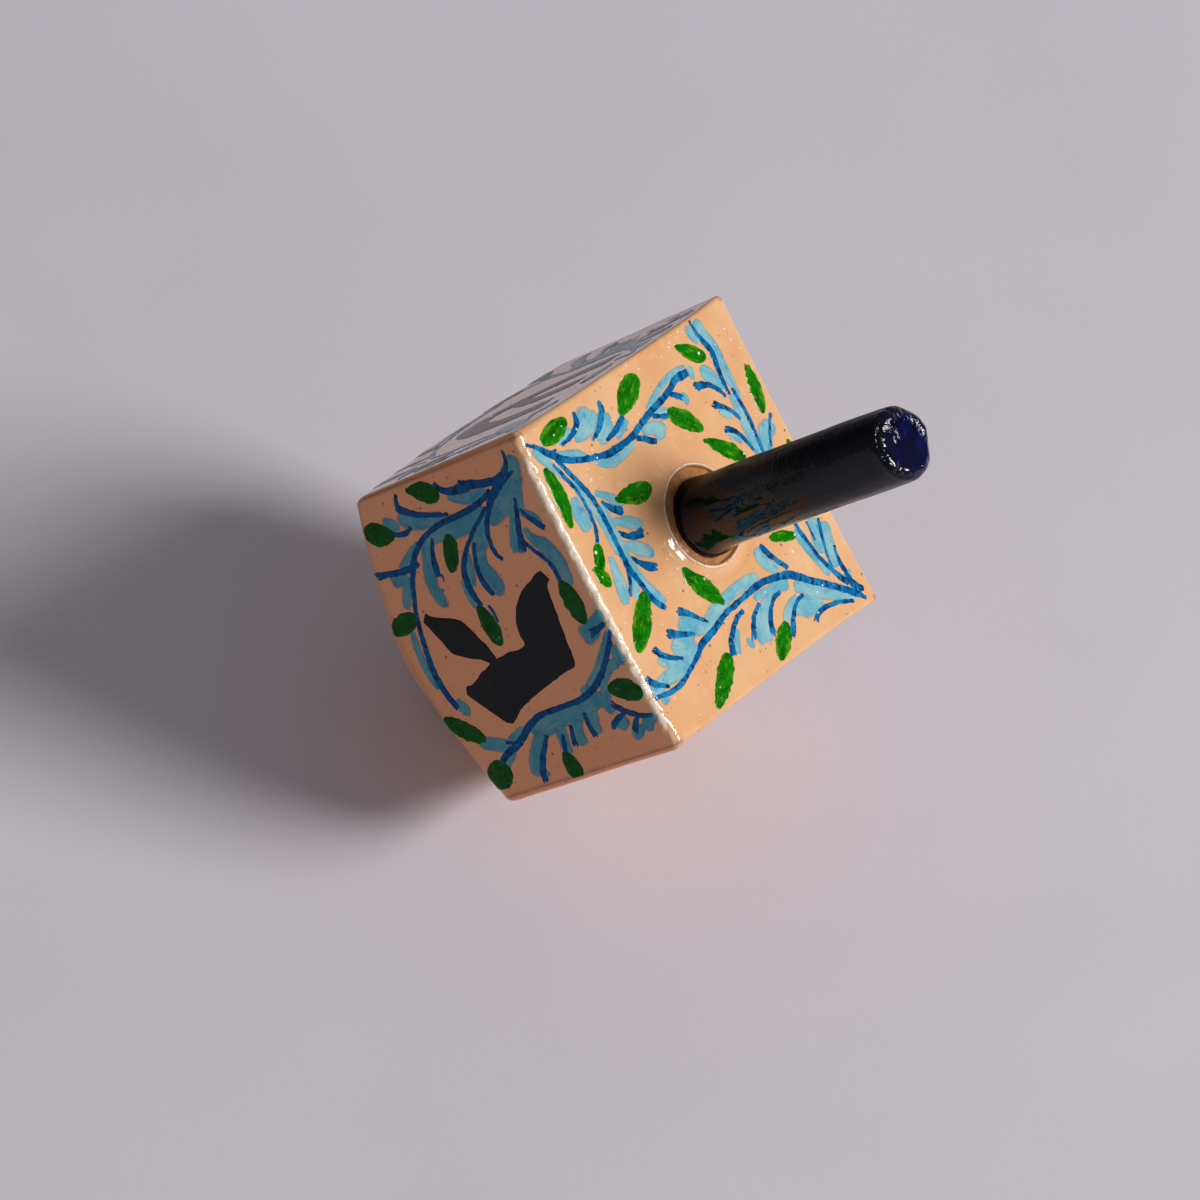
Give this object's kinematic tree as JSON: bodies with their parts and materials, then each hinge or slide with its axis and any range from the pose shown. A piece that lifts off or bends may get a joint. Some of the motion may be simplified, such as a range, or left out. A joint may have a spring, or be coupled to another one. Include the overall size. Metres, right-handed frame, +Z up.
{
  "type": "dreidel",
  "caption": "Four-sided spinning top: square painted wooden block with a conical point and a glued dowel stem, lying on its cone.",
  "frame": {"origin": "on the surface the toy lies on, under the middle of its bounding box", "axes": "+Z up from the surface; the stem leans towards +X and its axis lies in the XZ plane; the front flat face looks towards -Y"},
  "size_m": [0.0498, 0.0372, 0.0471],
  "materials": {
    "painted_ground": "gloss",
    "navy_lacquer": "gloss",
    "glue": "satin",
    "bead_ground": "gloss"
  },
  "bodies": {
    "root": {"body_block": "painted_ground", "stem": "navy_lacquer", "glue_sleeve": "glue", "root_bead": "bead_ground"}
  },
  "joints": []
}
